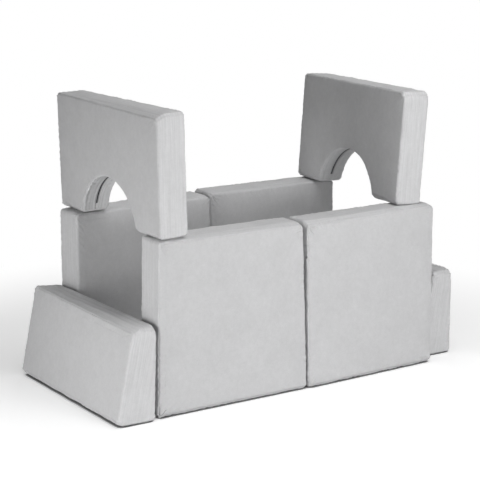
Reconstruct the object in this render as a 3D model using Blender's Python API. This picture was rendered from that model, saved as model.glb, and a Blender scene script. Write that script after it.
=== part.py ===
"""Modular foam play sofa, stacked as a play den.

Eight loose foam blocks in removable velour covers: four square panels on edge, two arch
blocks bridging the panels, and two wedges lying at the ends. Metres, +Z up, X along the
length, Y to the back. The origin is the middle of the footprint, on the floor.

Every block is built in its own axes: u along its length, v up and w through its thickness,
from face A to face B. A cover is two crowned faces sewn to a boxed gusset all round.
"""
import math

import bmesh
import bpy
import numpy as np
from mathutils import Euler, Matrix, Vector

# Sizes of the foam blocks, measured at the seams
panel_width = 0.575
panel_height = 0.595
panel_thickness = 0.114
arch_length = 0.708
arch_height = 0.408
arch_thickness = 0.100
arch_opening_radius = 0.195
arch_opening_drop = 0.038
wedge_length = 0.708
wedge_height = 0.320
wedge_foot_thickness = 0.140
wedge_top_thickness = 0.083

# Shape that the stuffed covers take
face_crown = 0.005
face_round_depth = 0.003
face_round_inset = 0.010
face_flat_inset = 0.030
gusset_crown = 0.0025
gusset_round_width = 0.012
gusset_squash_width = 0.032
end_draw_in = 0.0025
panel_corner_radius = 0.014
arch_corner_radius = 0.016
arch_foot_radius = 0.014
wedge_corner_radius = 0.020
least_radius = 0.002

# Cover cloth and the room round the core
cover_wall = 0.0025
fit_gap = 0.0003

# Zips, sunk in a slot in the gusset
slot_width = 0.014
slot_end_margin = 0.050
arch_slot_margin = math.radians(1.5)
tape_thickness = 0.0008
coil_width = 0.005
coil_height = 0.0011
slider_length = 0.012
slider_width = 0.009
slider_roof = 0.0008
slider_tape_clearance = 0.0003
slider_park_gap = 0.004

# How the blocks stand in the photograph
end_gap = 0.0003
arch_back_reach = 0.149
front_left_foot_spread = 0.010
front_left_head_draw = 0.008
front_joint_foot_shift = 0.014
front_right_foot_spread = 0.004
front_right_head_draw = 0.003
front_right_advance = 0.006
front_right_yaw = math.radians(1.7)
back_left_outset = 0.012
back_left_yaw = math.radians(3.5)
back_right_shift = 0.004
back_right_setback = 0.071
left_arch_inset = 0.012
left_arch_setback = 0.009
left_arch_lean = math.radians(-1.4)
left_arch_squash = 0.0015
right_arch_inset = 0.045
right_arch_setback = 0.039
right_arch_yaw = math.radians(-5.3)
right_arch_lean = math.radians(4.2)
right_arch_squash = 0.0050
left_wedge_gap = 0.014
left_wedge_advance = 0.010
left_wedge_yaw = math.radians(0.6)
left_wedge_lean = math.radians(1.7)
left_wedge_squash = 0.0015
right_wedge_gap = 0.0016
right_wedge_setback = 0.071

# Points along the outlines
corner_points = 5
foot_points = 4
arc_points = 13
coil_arc_points = 40
side_point_shares = (1 / 3, 2 / 3)


def rounded_corner(centre, radius, start_angle, count):
    """Points on a quarter circle, anticlockwise from start_angle."""
    angles = start_angle + np.linspace(0.0, math.pi / 2, count)
    return np.column_stack((centre[0] + radius * np.cos(angles), centre[1] + radius * np.sin(angles)))


def slab_outline(length, height, radius):
    """Outline of a panel or wedge face for a given inset, anticlockwise from the slot's start.

    The slot runs along the bottom side from the first point to the second.
    """
    def outline(inset):
        r = max(radius - inset, least_radius)
        low_u, high_u = inset, length - inset
        low_v, high_v = inset, height - inset
        draw = np.array([[end_draw_in, 0.0]])
        right_side = [(high_u, low_v + (high_v - low_v) * share) for share in side_point_shares]
        top_side = [(high_u - (high_u - low_u) * share, high_v) for share in side_point_shares]
        left_side = [(low_u, high_v - (high_v - low_v) * share) for share in side_point_shares]
        return np.vstack((
            [(slot_end_margin, low_v), (length - slot_end_margin, low_v)],
            rounded_corner((high_u - r, low_v + r), r, -math.pi / 2, corner_points),
            np.array(right_side) - draw,
            rounded_corner((high_u - r, high_v - r), r, 0.0, corner_points),
            top_side,
            rounded_corner((low_u + r, high_v - r), r, math.pi / 2, corner_points),
            np.array(left_side) + draw,
            rounded_corner((low_u + r, low_v + r), r, math.pi, corner_points),
        ))
    return outline


def arch_foot(inset):
    """Radius and centre of the rounding between soffit and foot, and the angle where it ends.

    The centre is given as its reach from the middle of the opening and its height v. The angle
    is the one about the opening's axis, which lies arch_opening_drop below the feet.
    """
    foot = max(arch_foot_radius - inset, least_radius)
    foot_v = inset + foot
    reach = math.sqrt((arch_opening_radius + inset + foot) ** 2 - (foot_v + arch_opening_drop) ** 2)
    return foot, reach, foot_v, math.atan2(foot_v + arch_opening_drop, reach)


def arch_slot_start():
    """Angle about the opening's axis where the slot in the soffit starts and, mirrored, ends."""
    deepest_inset = face_flat_inset + cover_wall + fit_gap
    return arch_foot(deepest_inset)[3] + arch_slot_margin


def arch_outline(inset):
    """Outline of an arch face for a given inset, anticlockwise from the slot's start.

    The soffit comes first, from the foot at the low end of u over the top to the other foot,
    then the outside of the block, and last the bottom of the foot at the low end of u.
    """
    middle = arch_length / 2
    soffit = arch_opening_radius + inset
    foot, reach, foot_v, tangent = arch_foot(inset)
    r = max(arch_corner_radius - inset, least_radius)
    low_u, high_u = inset, arch_length - inset
    high_v = arch_height - inset
    angles = np.linspace(math.pi - arch_slot_start(), arch_slot_start(), arc_points)
    arc = np.column_stack((middle + soffit * np.cos(angles), soffit * np.sin(angles) - arch_opening_drop))
    turn = np.linspace(math.pi + tangent, 3 * math.pi / 2, foot_points)
    right_foot = np.column_stack((middle + reach + foot * np.cos(turn), foot_v + foot * np.sin(turn)))
    left_foot = np.column_stack((2 * middle - right_foot[::-1, 0], right_foot[::-1, 1]))
    top_side = [(high_u - (high_u - low_u) * share, high_v) for share in side_point_shares]
    middle_v = (inset + high_v) / 2
    return np.vstack((
        arc,
        right_foot,
        rounded_corner((high_u - r, inset + r), r, -math.pi / 2, foot_points),
        [(high_u - end_draw_in, middle_v)],
        rounded_corner((high_u - r, high_v - r), r, 0.0, corner_points),
        top_side,
        rounded_corner((low_u + r, high_v - r), r, math.pi / 2, corner_points),
        [(low_u + end_draw_in, middle_v)],
        rounded_corner((low_u + r, inset + r), r, math.pi, foot_points),
        left_foot,
    ))


def slab_faces(thickness):
    """Where faces A and B of an even slab lie through its thickness, at heights v."""
    def faces(v):
        return np.zeros_like(v), np.full_like(v, thickness)
    return faces


def wedge_faces(v):
    """Face A of a wedge slopes in towards the top, and face B is upright."""
    slope = (wedge_foot_thickness - wedge_top_thickness) / wedge_height
    return slope * v, np.full_like(v, wedge_foot_thickness)


def ring(outline, faces, inset, place, offset):
    """One closed ring of points (u, v, w).

    The ring lies offset inwards from face A or B, or below or above the middle between them.
    """
    points = outline(inset)
    low, high = faces(points[:, 1])
    places = {"A": low + offset, "B": high - offset,
              "below": (low + high) / 2 - offset, "above": (low + high) / 2 + offset}
    return np.column_stack((points, places[place]))


def mirrored_rings(outline, faces, rows):
    """Rings of the rows from face A to the middle, then of the same rows back to face B."""
    other_side = {"A": "B", "below": "above"}
    rows_back = [(inset, other_side[place], offset) for inset, place, offset in reversed(rows)]
    return [ring(outline, faces, *row) for row in rows + rows_back]


def skin_rings(outline, faces, squashed):
    """Rings of a cover's outside, from the flat of face A round the gusset to the flat of face B."""
    rows = [
        (face_flat_inset, "A", -face_crown),
        (face_round_inset, "A", -face_round_depth),
        (0.0, "A", 0.0),
        (-gusset_crown, "A", gusset_round_width),
    ]
    if squashed:
        rows.append((-gusset_crown, "A", gusset_squash_width))
    rows.append((-gusset_crown, "below", slot_width / 2))
    return mirrored_rings(outline, faces, rows)


def lining_rings(outline, faces, squashed):
    """Rings of a cover's inside, in the same order as skin_rings."""
    rows = [
        (face_flat_inset + cover_wall, "A", cover_wall - face_crown),
        (cover_wall, "A", cover_wall),
    ]
    if squashed:
        rows.append((cover_wall - gusset_crown, "A", gusset_squash_width))
    rows.append((cover_wall - gusset_crown, "below", slot_width / 2))
    return mirrored_rings(outline, faces, rows)


def core_rings(outline, faces, squashed):
    """Rings of the foam core, one fit gap inside the cover."""
    depth = cover_wall + fit_gap
    rows = [
        (face_flat_inset + depth, "A", depth - face_crown),
        (depth, "A", depth),
    ]
    if squashed:
        rows.append((depth, "A", gusset_squash_width))
    return mirrored_rings(outline, faces, rows)


def band_faces(first, second, count, skip=()):
    """Quads between two rings, whose points start at first and second."""
    return [(first + i, first + (i + 1) % count, second + (i + 1) % count, second + i)
            for i in range(count) if i not in skip]


def cover_mesh_data(skin, lining, slot_span):
    """Points and faces of a cover: outside, inside, and the slot's four walls between them."""
    count = len(skin[0])
    points = np.vstack(skin + lining)
    skin_start = [count * i for i in range(len(skin))]
    lining_start = [count * (len(skin) + i) for i in range(len(lining))]
    skin_slot = len(skin) // 2 - 1
    lining_slot = len(lining) // 2 - 1
    cut = range(slot_span[0], slot_span[1])
    faces = [tuple(range(skin_start[0], skin_start[0] + count)),
             tuple(range(skin_start[-1], skin_start[-1] + count)),
             tuple(range(lining_start[0], lining_start[0] + count)),
             tuple(range(lining_start[-1], lining_start[-1] + count))]
    for i in range(len(skin) - 1):
        faces += band_faces(skin_start[i], skin_start[i + 1], count, cut if i == skin_slot else ())
    for i in range(len(lining) - 1):
        faces += band_faces(lining_start[i], lining_start[i + 1], count, cut if i == lining_slot else ())
    for step in (0, 1):
        outer = skin_start[skin_slot + step]
        inner = lining_start[lining_slot + step]
        faces += [(outer + i, outer + i + 1, inner + i + 1, inner + i) for i in cut]
    for end in slot_span:
        faces.append((skin_start[skin_slot] + end, skin_start[skin_slot + 1] + end,
                      lining_start[lining_slot + 1] + end, lining_start[lining_slot] + end))
    return points, faces


def stacked_mesh_data(rings):
    """Points and faces of a solid that runs from ring to ring and is closed at both ends."""
    count = len(rings[0])
    starts = [count * i for i in range(len(rings))]
    faces = [tuple(range(starts[0], starts[0] + count)), tuple(range(starts[-1], starts[-1] + count))]
    for i in range(len(rings) - 1):
        faces += band_faces(starts[i], starts[i + 1], count)
    return np.vstack(rings), faces


def material(name, colour, roughness, metallic=0.0):
    """A Principled BSDF material."""
    finish = bpy.data.materials.new(name)
    finish.use_nodes = True
    shader = finish.node_tree.nodes["Principled BSDF"]
    shader.inputs["Base Color"].default_value = (*colour, 1.0)
    shader.inputs["Roughness"].default_value = roughness
    shader.inputs["Metallic"].default_value = metallic
    return finish


def add_piece(name, points, faces, finish, parent, smooth_angle):
    """A named object from points and faces, with its faces pointing out."""
    mesh = bpy.data.meshes.new(name)
    mesh.from_pydata([tuple(point) for point in points], [], faces)
    shape = bmesh.new()
    shape.from_mesh(mesh)
    bmesh.ops.recalc_face_normals(shape, faces=shape.faces)
    shape.to_mesh(mesh)
    shape.free()
    mesh.shade_smooth()
    mesh.set_sharp_from_angle(angle=smooth_angle)
    mesh.materials.append(finish)
    piece = bpy.data.objects.new(name, mesh)
    bpy.context.scene.collection.objects.link(piece)
    piece.parent = parent
    return piece


def add_empty(name, placement, parent):
    """An empty that carries the pieces of a block, or the slider of a zip."""
    empty = bpy.data.objects.new(name, None)
    bpy.context.scene.collection.objects.link(empty)
    empty.parent = parent
    empty.matrix_local = placement
    return empty


def rest_on(points, placement, height):
    """Flatten what a placed block would push below a height, as soft foam does."""
    rotation = np.array(placement.to_3x3())
    heights = points @ rotation[2] + placement.translation.z
    lift = np.maximum(height - heights, 0.0)
    return points + lift[:, None] * rotation[2][None, :]


def spread_ends(points, size, shifts):
    """Shift points along u as soft foam sags: each corner of the block's face has its own shift,
    and the points between them take a blend. The shifts are those of the foot's start and end and
    of the head's start and end."""
    along = points[:, 0] / size[0]
    up = points[:, 1] / size[1]
    foot = shifts[0] + (shifts[1] - shifts[0]) * along
    head = shifts[2] + (shifts[3] - shifts[2]) * along
    return points + np.outer(foot + (head - foot) * up, (1, 0, 0))


def block_axes(kind, points):
    """Turn (u, v, w) points into a block's own x, y, z."""
    u, v, w = points[:, 0], points[:, 1], points[:, 2]
    if kind == "panel":
        return np.column_stack((u, w, v))
    return np.column_stack((w, u, v))


def slot_depths():
    """Depths below the gusset's outside of the tape, the coil and the slider's roof."""
    tape_top = cover_wall
    coil_top = tape_top - coil_height
    roof_inside = coil_top - fit_gap
    roof_outside = roof_inside - slider_roof
    return tape_top, coil_top, roof_inside, roof_outside


def zip_section(middle_w):
    """Cross-section of a closed zip as (depth, w): two tapes with the coil standing on them."""
    tape_top, coil_top = slot_depths()[:2]
    tape_half = slot_width / 2 - fit_gap
    coil_half = coil_width / 2
    tape_base = tape_top + tape_thickness
    return [(tape_base, middle_w - tape_half), (tape_base, middle_w + tape_half),
            (tape_top, middle_w + tape_half), (tape_top, middle_w + coil_half),
            (coil_top, middle_w + coil_half), (coil_top, middle_w - coil_half),
            (tape_top, middle_w - coil_half), (tape_top, middle_w - tape_half)]


def slider_section(middle_w):
    """Cross-section of a slider as (depth, w): a channel that straddles the coil."""
    tape_top, coil_top, roof_inside, roof_outside = slot_depths()
    foot = tape_top - slider_tape_clearance
    inside = coil_width / 2 + fit_gap
    outside = slider_width / 2
    return [(foot, middle_w - outside), (foot, middle_w - inside), (roof_inside, middle_w - inside),
            (roof_inside, middle_w + inside), (foot, middle_w + inside), (foot, middle_w + outside),
            (roof_outside, middle_w + outside), (roof_outside, middle_w - outside)]


def straight_sweep(section, start_u, end_u):
    """Carry a (depth, w) section along the bottom of a panel or wedge."""
    return [np.array([(u, depth - gusset_crown, w) for depth, w in section]) for u in (start_u, end_u)]


def soffit_sweep(section, angles):
    """Carry a (depth, w) section round the soffit of an arch, about the opening's axis."""
    radius = arch_opening_radius - gusset_crown
    middle = arch_length / 2
    return [np.array([(middle + (radius + depth) * math.cos(a),
                       (radius + depth) * math.sin(a) - arch_opening_drop, w)
                      for depth, w in section]) for a in angles]


def slab_zip(middle_w, length):
    """Rings of a straight zip, between the ends of its slot."""
    start = slot_end_margin + fit_gap
    return straight_sweep(zip_section(middle_w), start, length - start)


def slab_slider(middle_w, length):
    """Rings of a straight zip's slider, parked at the far end of the slot."""
    end = length - slot_end_margin - slider_park_gap
    return straight_sweep(slider_section(middle_w), end - slider_length, end)


def arch_zip(middle_w):
    """Rings of an arch's zip, all along its soffit."""
    start = arch_slot_start() + fit_gap / arch_opening_radius
    return soffit_sweep(zip_section(middle_w), np.linspace(start, math.pi - start, coil_arc_points))


def arch_slider(middle_w):
    """Rings of an arch's slider, parked at the foot of the soffit nearest the front."""
    radius = arch_opening_radius - gusset_crown
    half = slider_length / 2
    middle_angle = math.pi - arch_slot_start() - (slider_park_gap + half) / radius
    across = np.array((math.cos(middle_angle), math.sin(middle_angle)))
    along = np.array((-across[1], across[0]))
    centre = np.array((arch_length / 2, -arch_opening_drop))
    return [np.array([(*(centre + (radius + depth) * across + side * along), w)
                      for depth, w in slider_section(middle_w)]) for side in (-half, half)]


def add_block(name, kind, placement, floor, shifts, finishes, assembly):
    """One foam block: its core, its cover, the zip in the cover's gusset and the zip's slider."""
    squashed = floor is not None
    if kind == "panel":
        outline = slab_outline(panel_width, panel_height, panel_corner_radius)
        faces = slab_faces(panel_thickness)
        middle_w = panel_thickness / 2
        length, height = panel_width, panel_height
    elif kind == "wedge":
        outline = slab_outline(wedge_length, wedge_height, wedge_corner_radius)
        faces = wedge_faces
        middle_w = wedge_foot_thickness / 2
        length, height = wedge_length, wedge_height
    else:
        outline = arch_outline
        faces = slab_faces(arch_thickness)
        middle_w = arch_thickness / 2
        length, height = arch_length, arch_height
    slot_span = (0, arc_points - 1) if kind == "arch" else (0, 1)

    def own_axes(rings):
        return [block_axes(kind, spread_ends(points, (length, height), shifts)) for points in rings]

    def settle(rings, depth):
        rings = own_axes(rings)
        if squashed:
            rings = [rest_on(points, placement, floor + depth) for points in rings]
        return rings

    carrier = add_empty(name, placement, assembly)
    skin = settle(skin_rings(outline, faces, squashed), 0.0)
    lining = settle(lining_rings(outline, faces, squashed), cover_wall)
    core = settle(core_rings(outline, faces, squashed), cover_wall + fit_gap)
    add_piece(f"{name}_cover", *cover_mesh_data(skin, lining, slot_span), finishes["velour"], carrier,
              math.radians(40.0))
    add_piece(f"{name}_core", *stacked_mesh_data(core), finishes["foam"], carrier, math.radians(40.0))
    zip_rings = arch_zip(middle_w) if kind == "arch" else slab_zip(middle_w, length)
    slider_rings = arch_slider(middle_w) if kind == "arch" else slab_slider(middle_w, length)
    zip_rings = own_axes(zip_rings)
    slider_rings = own_axes(slider_rings)
    add_piece(f"{name}_zip", *stacked_mesh_data(zip_rings), finishes["zip"], carrier, math.radians(30.0))
    pivot = Vector((middle_w, length / 2, -arch_opening_drop)) if kind == "arch" else Vector()
    track = add_empty(f"{name}_track", Matrix.Translation(pivot), carrier)
    slider_rings = [points - np.array(pivot) for points in slider_rings]
    add_piece(f"{name}_slider", *stacked_mesh_data(slider_rings), finishes["slider"], track,
              math.radians(30.0))


def placed(corner, target, yaw=0.0, lean=0.0):
    """Placement that turns a block by its yaw and lean and sets one of its corners on a target."""
    rotation = Euler((0.0, 0.0, yaw)).to_matrix() @ Euler((0.0, lean, 0.0)).to_matrix()
    return Matrix.Translation(Vector(target) - rotation @ Vector(corner)) @ rotation.to_4x4()


def block_placements():
    """Each block's kind, placement, the height that a leaning one settles on and its end shifts."""
    unshifted = (0.0, 0.0, 0.0, 0.0)
    foot = (0.0, 0.0, -gusset_crown)
    seat = panel_height + 2 * gusset_crown + fit_gap
    right_row = panel_width + 2 * gusset_crown + end_gap + panel_thickness * math.sin(front_right_yaw)
    row_end = right_row + panel_width * math.cos(front_right_yaw)
    back_row = arch_length - arch_back_reach
    left_wedge_reach = wedge_height * math.sin(left_wedge_lean)
    left_wedge_face = -gusset_crown - left_wedge_gap - face_crown - left_wedge_reach
    right_wedge_face = right_row + back_right_shift + panel_width + gusset_crown + right_wedge_gap
    return {
        "front_left": (
            "panel",
            placed(foot, (0.0, 0.0, 0.0)),
            None,
            (-front_left_foot_spread, front_joint_foot_shift, 0.0, -front_left_head_draw),
        ),
        "front_right": (
            "panel",
            placed(foot, (right_row, -front_right_advance, 0.0), front_right_yaw),
            None,
            (front_joint_foot_shift, front_right_foot_spread, 0.0, -front_right_head_draw),
        ),
        "back_left": (
            "panel",
            placed(foot, (-back_left_outset, back_row, 0.0), back_left_yaw),
            None,
            unshifted,
        ),
        "back_right": (
            "panel",
            placed(foot, (right_row + back_right_shift, back_row + back_right_setback, 0.0)),
            None,
            unshifted,
        ),
        "left_arch": (
            "arch",
            placed(foot, (left_arch_inset, left_arch_setback, seat - left_arch_squash),
                   lean=left_arch_lean),
            seat,
            unshifted,
        ),
        "right_arch": (
            "arch",
            placed((arch_thickness, 0.0, -gusset_crown),
                   (row_end - right_arch_inset, right_arch_setback, seat - right_arch_squash),
                   right_arch_yaw, right_arch_lean),
            seat,
            unshifted,
        ),
        "left_wedge": (
            "wedge",
            placed((wedge_foot_thickness, 0.0, -gusset_crown),
                   (left_wedge_face, -left_wedge_advance, -left_wedge_squash),
                   left_wedge_yaw, left_wedge_lean),
            0.0,
            unshifted,
        ),
        "right_wedge": (
            "wedge",
            placed(foot, (right_wedge_face, right_wedge_setback, 0.0)),
            None,
            unshifted,
        ),
    }


def centre_on_footprint(assembly):
    """Move the whole den so that the middle of its footprint is the origin."""
    bpy.context.view_layer.update()
    corners = np.array([piece.matrix_world @ vertex.co
                        for piece in bpy.context.scene.objects if piece.type == "MESH"
                        for vertex in piece.data.vertices])
    middle = (corners.min(axis=0) + corners.max(axis=0)) / 2
    assembly.location = (-middle[0], -middle[1], 0.0)


for leftover in list(bpy.context.scene.objects):
    bpy.data.objects.remove(leftover)

finishes = {
    "velour": material("light_grey_velour", (0.52, 0.52, 0.53), 0.9),
    "foam": material("polyurethane_foam", (0.80, 0.78, 0.70), 0.95),
    "zip": material("polyester_zip", (0.13, 0.13, 0.14), 0.7),
    "slider": material("painted_zinc_slider", (0.20, 0.20, 0.21), 0.4, 0.6),
}
den = add_empty("den", Matrix.Identity(4), None)
for block_name, (block_kind, *block_stance) in block_placements().items():
    add_block(block_name, block_kind, *block_stance, finishes, den)
centre_on_footprint(den)
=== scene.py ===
"""Modular foam play sofa, stacked as a play den: the visual model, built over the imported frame.

Every block is a soft foam core in a boxed velour cover with a zip in its gusset. All lengths are
metres, +Z is up, X runs along the den and Y to its back. A block's own axes are u along its
length, v up and w through its thickness, from face A to face B.
"""
import math

import bpy
import numpy as np
from mathutils import Euler, Matrix, Vector


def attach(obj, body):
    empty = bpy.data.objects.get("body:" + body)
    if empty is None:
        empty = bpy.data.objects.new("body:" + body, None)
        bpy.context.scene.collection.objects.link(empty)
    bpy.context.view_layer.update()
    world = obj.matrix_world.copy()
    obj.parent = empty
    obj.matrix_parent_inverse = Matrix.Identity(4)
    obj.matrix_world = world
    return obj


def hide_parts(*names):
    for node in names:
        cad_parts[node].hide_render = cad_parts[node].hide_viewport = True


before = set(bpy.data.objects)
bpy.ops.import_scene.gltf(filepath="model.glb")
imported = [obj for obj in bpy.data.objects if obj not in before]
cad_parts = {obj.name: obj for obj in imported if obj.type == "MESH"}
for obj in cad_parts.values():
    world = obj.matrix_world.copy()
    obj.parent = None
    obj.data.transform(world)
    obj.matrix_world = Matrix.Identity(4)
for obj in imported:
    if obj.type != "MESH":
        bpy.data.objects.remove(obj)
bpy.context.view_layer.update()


# ---- Camera: a long lens from the front left, a little above the arches, as the photograph was taken.
camera_place = (-2.9241, -4.4753, 1.6447)
camera_turn = math.radians(33.11)
camera_tilt = math.radians(12.43)
camera_focal_px = 1500.23
picture_px = 480

lens = bpy.data.cameras.new("view_from_front_left")
lens.sensor_width = 36.0
lens.lens = camera_focal_px / picture_px * lens.sensor_width
camera = bpy.data.objects.new("view_from_front_left", lens)
camera.location = camera_place
camera.rotation_euler = (math.pi / 2 - camera_tilt, 0.0, -camera_turn)
bpy.context.scene.collection.objects.link(camera)
bpy.context.scene.camera = camera


# ---- Panel covers: four square seat panels on edge, in short-pile velour. Two faces are sewn to a
# boxed gusset all round, and the cloth puckers where the thread pulls. The soft foam lets face A's
# top seam fall, and the seams at the foot roll under the block.
panel_length, panel_height, panel_thickness = 0.575, 0.595, 0.114
panel_corner = 0.012
# First corner, turn about Z in degrees, and how far the foot's start and end and the head's start
# and end are spread along u.
panel_places = {
    "front_left": ((-0.566403, -0.383852, 0.0025), 0.0, (-0.010, 0.014, 0.0, -0.008)),
    "front_right": ((0.017279, -0.389852, 0.0025), 1.7, (0.014, 0.004, 0.0, -0.003)),
    "back_left": ((-0.578403, 0.175148, 0.0025), 3.5, (0.0, 0.0, 0.0, 0.0)),
    "back_right": ((0.021279, 0.246148, 0.0025), 0.0, (0.0, 0.0, 0.0, 0.0)),
}
# Strength of the folds at the sewn corners, anticlockwise from the foot's start.
corner_pulls = {
    "front_left": (2.2, 0.6, 0.5, 1.2),
    "front_right": (0.8, 0.6, 0.6, 1.6),
    "back_left": (0.4, 0.4, 0.4, 0.4),
    "back_right": (0.4, 0.4, 0.4, 1.2),
}
column_step = 0.004
sharpest_corner = 0.005
on_line = 1e-6
slot_end_margin = 0.050
face_insets = np.array([0.0, 0.0007, 0.0015, 0.0026, 0.004, 0.006, 0.0085, 0.0115, 0.015, 0.019, 0.0235])
gusset_steps = np.array([0.0007, 0.0015, 0.0026, 0.0042, 0.0064, 0.009])
gusset_rows = 8
slot_steps = np.array([0.0125, 0.0095, 0.0077, 0.00715, 0.0070, 0.0022])
slot_depth, lip_rise, crease_depth = 0.0036, 0.0008, 0.0040
seam_groove, groove_reach = 0.0011, 0.0007
seam_sway, sway_reach = 0.0007, 0.020
shoulder_rise, shoulder_reach = 0.0024, 0.0018
crown_rise, crown_reach, crown_smoothings = 0.0034, 0.040, 6
gusset_rise, gusset_reach = 0.0024, 0.0020
pucker_height, pucker_start, pucker_corner_reach = 0.00060, 0.0028, 0.030
face_pucker_reach, gusset_pucker_reach = 0.0055, 0.0060
pinch_height, pinch_start, pinch_reach = 0.0011, 0.004, 0.014
broad_ripple_height, broad_ripple_length = 0.0006, 0.17
fine_ripple_height, fine_ripple_length = 0.00032, 0.055
ripple_start = 0.020
fold_height, fold_start = 0.0005, 0.008
fold_length, soffit_fold_length = 0.021, 0.0125
unfolded_beside_zip, unfolded_fade = 0.0125, 0.006
foot_tuck, tuck_height, tuck_reach = 0.0010, 0.008, 0.012
foot_roll, roll_height = 0.0065, 0.007
gusset_foot_reach = 0.006
foot_lift, foot_lift_height, foot_lift_reach = 0.0032, 0.014, 0.009
edge_reach, edge_fall_reach = 0.020, 0.050
# How far face A's top seam falls at its start and at its end.
top_edge_falls = {
    "front_left": (0.006, 0.009), "front_right": (0.015, 0.006), "back_left": (0.005, 0.005),
    "back_right": (0.005, 0.005), "left_wedge": (0.013, 0.003), "right_wedge": (0.004, 0.004),
    "left_arch": (0.014, 0.0), "right_arch": (0.004, 0.002),
}
even_tension, uneven_tension, corner_tension = 0.5, 0.4, 1.1
slow_pucker_share = 0.6
fold_bend, fine_fold_bend = 1.6, -1.3
# Number of sines in a sum of waves along the seam, and their shortest and longest length.
tension_waves = (3, 0.15, 0.5)
pucker_waves = (8, 0.013, 0.034)
slow_pucker_waves = (4, 0.05, 0.12)
sway_waves = (6, 0.05, 0.22)
bend_waves = (3, 0.2, 0.6)


def walk_outline(parts):
    """Points on a closed outline and their inward normals, walked anticlockwise.

    A part is a line (start, end, count) or an arc (centre, radius, first angle, last angle,
    count). A point is the part's start plus equal steps towards its end.
    """
    points, inward = [], []
    for part in parts:
        count = part[-1]
        step = np.arange(count)[:, None] / count
        if len(part) == 3:
            start, end = np.array(part[0]), np.array(part[1])
            along = (end - start) / np.linalg.norm(end - start)
            points.append(start + step * (end - start))
            inward.append(np.tile((-along[1], along[0]), (count, 1)))
        else:
            centre, radius, first, last, _ = part
            angle = first + step * (last - first)
            spoke = np.hstack((np.cos(angle), np.sin(angle)))
            points.append(np.array(centre) + radius * spoke)
            inward.append(-np.sign(last - first) * spoke)
    return np.vstack(points), np.vstack(inward)


def slab_outline(length, height, radius, step):
    """A rounded rectangle for any inset, from the middle of its first corner round to it again."""
    corner = 5
    across = round((length - 2 * radius) / step)
    upright = round((height - 2 * radius) / step)
    quarter = math.pi / 4

    def outline(inset):
        r = max(radius - inset, sharpest_corner)
        low, right, top = inset + r, length - inset - r, height - inset - r
        return walk_outline([
            ((low, low), r, 5 * quarter, 6 * quarter, corner),
            ((low, inset), (right, inset), across),
            ((right, low), r, 6 * quarter, 7 * quarter, corner),
            ((right, low), r, 7 * quarter, 8 * quarter, corner),
            ((length - inset, low), (length - inset, top), upright),
            ((right, top), r, 0.0, quarter, corner),
            ((right, top), r, quarter, 2 * quarter, corner),
            ((right, height - inset), (low, height - inset), across),
            ((low, top), r, 2 * quarter, 3 * quarter, corner),
            ((low, top), r, 3 * quarter, 4 * quarter, corner),
            ((inset, top), (inset, low), upright),
            ((low, low), r, 4 * quarter, 5 * quarter, corner),
        ])
    return outline, (across + 2 * corner, upright + 2 * corner)


def waves(distance, length, count, shortest, longest, seed):
    """Sum of sines of distance with random phases, each a whole number of waves round the length."""
    random = np.random.default_rng(seed)
    number = np.round(length / random.uniform(shortest, longest, count))
    phase = random.uniform(0.0, 2 * math.pi, count)
    angle = 2 * math.pi * number * distance[..., None] / length + phase
    return np.sin(angle).sum(axis=-1) / math.sqrt(count)


def ripples(u, v, wavelength, seed):
    """Sum of plane waves over a face, in random directions, about one wavelength long."""
    random = np.random.default_rng(seed)
    heading = random.uniform(0.0, 2 * math.pi, 7)
    stretch = random.uniform(0.7, 1.5, 7)
    phase = random.uniform(0.0, 2 * math.pi, 7)
    run = u[..., None] * np.cos(heading) + v[..., None] * np.sin(heading)
    return np.sin(2 * math.pi * run / (wavelength * stretch) + phase).sum(axis=-1) / math.sqrt(7)


def pinches(u, v, corners, seed):
    """Folds that fan out from the sewn corners: a wave of the angle about a corner, strongest at
    pinch_reach from it and gone at about four times that."""
    random = np.random.default_rng(seed)
    total = np.zeros_like(u)
    for corner_u, corner_v, strength in corners:
        reach = np.hypot(u - corner_u, v - corner_v) / pinch_reach
        angle = np.arctan2(v - corner_v, u - corner_u)
        lobes, phase = random.uniform(13.0, 19.0), random.uniform(0.0, 2 * math.pi)
        fan = np.sin(lobes * angle + phase) + 0.5 * np.sin(1.7 * lobes * angle + 2.3 * phase)
        total += strength * reach * np.exp(1 - reach) * fan
    return total


def patch(ring, sides):
    """Grid of points inside a closed ring with four sides: the blend of both pairs of opposite
    sides less the blend of the corners (a Coons patch)."""
    n, m = sides
    closed = np.vstack((ring, ring[:1]))
    bottom = closed[:n + 1]
    right = closed[n:n + m + 1]
    top = closed[n + m:2 * n + m + 1][::-1]
    left = closed[2 * n + m:][::-1]
    s = np.linspace(0.0, 1.0, n + 1)[None, :, None]
    t = np.linspace(0.0, 1.0, m + 1)[:, None, None]
    corners = ((1 - s) * (1 - t) * bottom[0] + s * (1 - t) * bottom[-1]
               + (1 - s) * t * top[0] + s * t * top[-1])
    return (1 - t) * bottom + t * top + (1 - s) * left[:, None] + s * right[:, None] - corners


def patch_numbers(first_ring, first_inside, sides):
    """Vertex numbers of a patch's grid: its rim is a ring that is there already."""
    n, m = sides
    ring = first_ring + np.arange(2 * (n + m))
    grid = np.empty((m + 1, n + 1), int)
    grid[0, :] = ring[:n + 1]
    grid[:, n] = ring[n:n + m + 1]
    grid[m, :] = ring[n + m:2 * n + m + 1][::-1]
    grid[:, 0] = np.append(ring[2 * n + m:], ring[0])[::-1]
    grid[1:m, 1:n] = first_inside + np.arange((m - 1) * (n - 1)).reshape(m - 1, n - 1)
    return grid


def grid_quads(grid):
    """Quads of a grid of vertex numbers, or the same corners' values from a grid of values."""
    quads = np.stack((grid[:-1, :-1], grid[:-1, 1:], grid[1:, 1:], grid[1:, :-1]), 2)
    return quads.reshape(-1, 4, *grid.shape[2:])


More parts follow.
